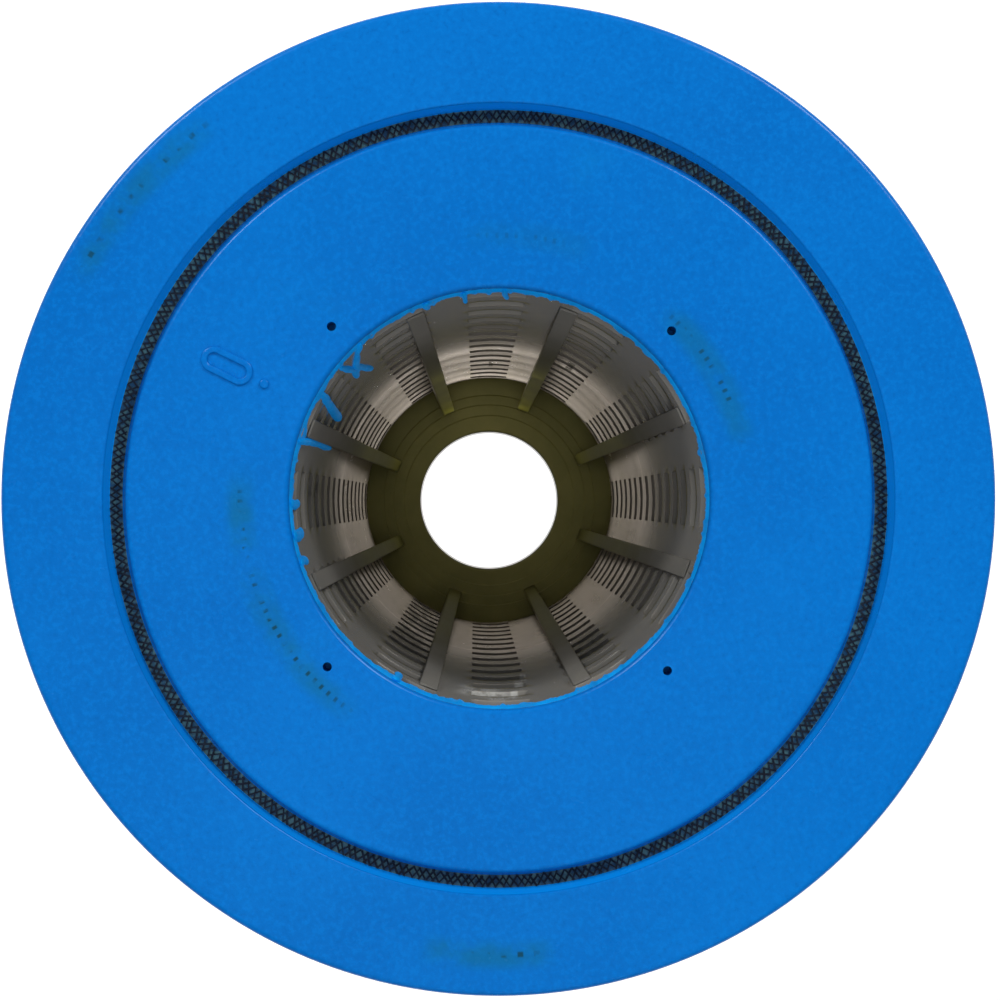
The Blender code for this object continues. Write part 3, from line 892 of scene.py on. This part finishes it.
net_low, net_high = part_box("support_netting")
STRAND = 0.0008
bm = bmesh.new()
bmesh.ops.create_grid(bm, x_segments=40, y_segments=50, size=0.5)
squares = bm.edges[:]
bmesh.ops.poke(bm, faces=bm.faces[:])
bmesh.ops.dissolve_edges(bm, edges=[edge for edge in squares if not edge.is_boundary], use_verts=False)
net_radius = net_high.x - STRAND / 2
for vert in bm.verts:
    turn = 2 * math.pi * (vert.co.x + 0.5)
    share = STRAND / 2 / (net_high.z - net_low.z)
    height = net_low.z + (net_high.z - net_low.z) * (share + (vert.co.y + 0.5) * (1 - 2 * share))
    vert.co = on_circle(net_radius, turn, height)
bmesh.ops.remove_doubles(bm, verts=bm.verts, dist=0.000001)
bmesh.ops.recalc_face_normals(bm, faces=bm.faces)
net = piece("net_sleeve", bm, net_paint, ["support_netting"])
strands = net.modifiers.new("strands", "WIREFRAME")
strands.thickness = STRAND
strands.use_replace = True
strands.use_boundary = True

# %% [markdown]
# ## The folded cloth
#
# The filter is one long sheet of spun-bonded polyester, folded 172 times and closed into a ring.
# A simulation would tangle a sheet seventeen metres long, so one fold is written down as a line,
# with a round outer tip, two straight legs and a tighter inner fold, and a flat grid is laid along
# that line. No two folds are quite alike: each tip leans and sinks by its own small amount.

# %% Folded cloth
CLOTH = 0.0005
TIP_ROUND = 0.00095
HEEL_ROUND = 0.00045
CLOTH_OUT = 0.1070 - CLOTH / 2
CLOTH_IN = 0.0580 + CLOTH / 2
PLEAT = 2 * math.pi / PLEATS
seam_low, seam_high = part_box("seam_bead")
seam_middle = (seam_low + seam_high) / 2
SEAM_ANGLE = math.atan2(seam_middle.y, seam_middle.x)


def one_fold():
    """(radius, sideways, share of tip) along one fold, from the middle of one heel to the next."""
    heel_middle, tip_middle = CLOTH_IN + HEEL_ROUND, CLOTH_OUT - TIP_ROUND
    half = []
    for k in range(3):
        a = math.pi / 2 * k / 2
        side = PLEAT / 2 - HEEL_ROUND * math.sin(a) / heel_middle
        half.append((heel_middle - HEEL_ROUND * math.cos(a), side))
    for k in range(1, 4):
        radius = heel_middle + (tip_middle - heel_middle) * k / 4
        start, end = PLEAT / 2 - HEEL_ROUND / heel_middle, TIP_ROUND / tip_middle
        half.append((radius, start + (end - start) * k / 4))
    for k in range(3):
        a = math.pi / 2 * k / 2
        half.append((tip_middle + TIP_ROUND * math.sin(a), TIP_ROUND * math.cos(a) / tip_middle))
    left = [(radius, -side) for radius, side in half]
    return left + [(radius, side) for radius, side in reversed(half[:-1])]


FOLD = one_fold()
STEPS = len(FOLD) - 1
lean = rng.uniform(-0.16, 0.16, (PLEATS, 3)) * PLEAT
sink = rng.uniform(0.0, 0.0007, PLEATS)
phase = rng.uniform(0.0, 2 * math.pi, PLEATS)


def cloth_point(column, share):
    """Where a point of the flat sheet lies: its column along the sheet and its share of the height."""
    fold, step = divmod(column, STEPS)
    radius, side = FOLD[step]
    fold %= PLEATS
    tip = (radius - CLOTH_IN) / (CLOTH_OUT - CLOTH_IN)
    wave = math.sin(2 * math.pi * share + phase[fold])
    turn = SEAM_ANGLE + PLEAT * (fold + 0.5) + side + tip * (lean[fold, 0] + lean[fold, 1] * wave)
    height = CLOTH_LOW.z + (CLOTH_HIGH.z - CLOTH_LOW.z) * share
    return on_circle(radius - tip * sink[fold] * (0.6 + 0.4 * wave), turn, height)


bm = bmesh.new()
bm.loops.layers.uv.verify()
columns, rows = PLEATS * STEPS, 12
bmesh.ops.create_grid(bm, x_segments=columns, y_segments=rows, size=0.5, calc_uvs=True)
for vert in bm.verts:
    vert.co = cloth_point(round((vert.co.x + 0.5) * columns), vert.co.y + 0.5)
line = [cloth_point(column, 0.5) for column in range(columns + 1)]
run = np.cumsum([0.0] + [(b - a).length for a, b in zip(line, line[1:])])
uv = bm.loops.layers.uv.verify()
for face in bm.faces:
    for loop in face.loops:
        loop[uv].uv = (run[round(loop[uv].uv.x * columns)], loop[uv].uv.y * (CLOTH_HIGH.z - CLOTH_LOW.z))
bmesh.ops.remove_doubles(bm, verts=bm.verts, dist=0.000001)
bmesh.ops.recalc_face_normals(bm, faces=bm.faces)

cloth_paint = Paint("spun_bonded_cloth", Roughness=0.9, Sheen_Weight=0.15, Sheen_Roughness=0.5)
sheet_map = cloth_paint.node("ShaderNodeUVMap")
across, up, _ = cloth_paint.split(sheet_map)
dents = (across * (2 * math.pi / 0.0016)).sine() * (up * (2 * math.pi / 0.0016)).sine()
dents = dents.fade(0.35, 0.85)
fibres = cloth_paint.noise(1.0, 4.0, where=cloth_paint.node(
    "ShaderNodeMapping", sockets={"Vector": sheet_map, "Scale": (1500.0, 700.0, 1.0)}), roughness=0.7)
dirt = cloth_paint.noise(1.0, 4.0, where=cloth_paint.node(
    "ShaderNodeMapping", sockets={"Vector": sheet_map, "Scale": (9.0, 16.0, 1.0)}), roughness=0.6)
cloth_radius = cloth_paint.polar()[0]
tips = cloth_radius.fade(0.1035, 0.1068)
white = cloth_paint.mix(fibres.fade(0.30, 0.75), colour(0.640, 0.650, 0.650), colour(0.800, 0.810, 0.805))
white = cloth_paint.mix(dents * 0.35, white, colour(0.560, 0.575, 0.585))
white = cloth_paint.mix(dirt.fade(0.50, 0.80) * tips * 0.35, white, colour(0.520, 0.500, 0.440))
cloth_paint.set("Base Color", white)
cloth_paint.relief(fibres * 0.00009 - dents * 0.00010, 0.8)

cloth = piece("folded_cloth", bm, cloth_paint, ["pleated_media"], sharp=180)
wall = cloth.modifiers.new("thickness", "SOLIDIFY")
wall.thickness = CLOTH
wall.offset = 0.0

# %% [markdown]
# ## Bands and seam
#
# Three woven bands keep the tips of the folds at their spacing. Each is a flat tape, pulled round the
# tips so that it dips a little between them. Where the sheet's two ends meet, a bead of hot glue
# closes the ring, lumpy along its whole length.

# %% Bands
band_paint = Paint("band_weave", Roughness=0.75)
band_map = band_paint.node("ShaderNodeUVMap")
across, up, _ = band_paint.split(band_map)
warp = (across * (2 * math.pi / 0.0014)).sine()
weft = (up * (2 * math.pi / 0.0010)).sine()
weave = (warp * weft) * 0.5 + 0.5
yarn = band_paint.noise(1.0, 3.0, where=band_paint.node(
    "ShaderNodeMapping", sockets={"Vector": band_map, "Scale": (400.0, 2400.0, 1.0)}))
band_colour = band_paint.mix(weave, colour(0.560, 0.570, 0.575), colour(0.780, 0.785, 0.780))
band_colour = band_paint.mix(yarn.fade(0.45, 0.75) * 0.3, band_colour, colour(0.500, 0.505, 0.500))
band_paint.set("Base Color", band_colour)
band_paint.relief(weave * 0.00018 + yarn * 0.00006, 0.9)

BAND = 0.0005
for name in ("lower", "middle", "upper"):
    node = name + "_pleat_band"
    band_low, band_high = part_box(node)
    bm = bmesh.new()
    bm.loops.layers.uv.verify()
    bmesh.ops.create_grid(bm, x_segments=PLEATS * 4, y_segments=6, size=0.5, calc_uvs=True)
    band_radius = band_high.x - BAND / 2
    for vert in bm.verts:
        column = round((vert.co.x + 0.5) * PLEATS * 4)
        between = abs(column % 4 - 2) / 2
        turn = SEAM_ANGLE + 2 * math.pi * (vert.co.x + 0.5)
        height = band_low.z + (band_high.z - band_low.z) * (vert.co.y + 0.5)
        vert.co = on_circle(band_radius - 0.00012 * between, turn, height)
    uv = bm.loops.layers.uv.verify()
    for face in bm.faces:
        for loop in face.loops:
            along, upwards = loop[uv].uv
            loop[uv].uv = (along * 2 * math.pi * band_radius, upwards * (band_high.z - band_low.z))
    bmesh.ops.remove_doubles(bm, verts=bm.verts, dist=0.000001)
    bmesh.ops.recalc_face_normals(bm, faces=bm.faces)
    band = piece(name + "_band", bm, band_paint, [node], sharp=180)
    wall = band.modifiers.new("thickness", "SOLIDIFY")
    wall.thickness = BAND
    wall.offset = 0.0

# %% Seam bead
glue_paint = Paint("hot_glue", Roughness=0.35, IOR=1.48)
glue_tone = glue_paint.noise(90.0, 3.0).fade(0.35, 0.7)
amber, cream = colour(0.620, 0.560, 0.400), colour(0.760, 0.710, 0.560)
glue_paint.set("Base Color", glue_paint.mix(glue_tone, amber, cream))
glue_paint.relief(glue_paint.noise(260.0, 2.0) * 0.0002, 0.7)
bm = bmesh.new()
bmesh.ops.create_uvsphere(bm, u_segments=12, v_segments=120, radius=1.0)
SEAM_HALF = (0.0019, 0.00055)
seam_radius = math.hypot(seam_middle.x, seam_middle.y)
for vert in bm.verts:
    ring = math.sqrt(max(1e-9, 1 - vert.co.z ** 2))
    height = seam_middle.z + vert.co.z * (seam_high.z - seam_low.z) / 2
    size = min(1.0, ring * 6) * (0.86 + 0.14 * math.sin(height * 900) * math.sin(height * 370))
    out = seam_radius + vert.co.x / max(ring, 1e-4) * SEAM_HALF[0] * size
    sideways = vert.co.y / max(ring, 1e-4) * SEAM_HALF[1] * size
    vert.co = on_circle(out, SEAM_ANGLE + sideways / out, height)
bmesh.ops.recalc_face_normals(bm, faces=bm.faces)
piece("seam_glue_bead", bm, glue_paint, ["seam_bead"])
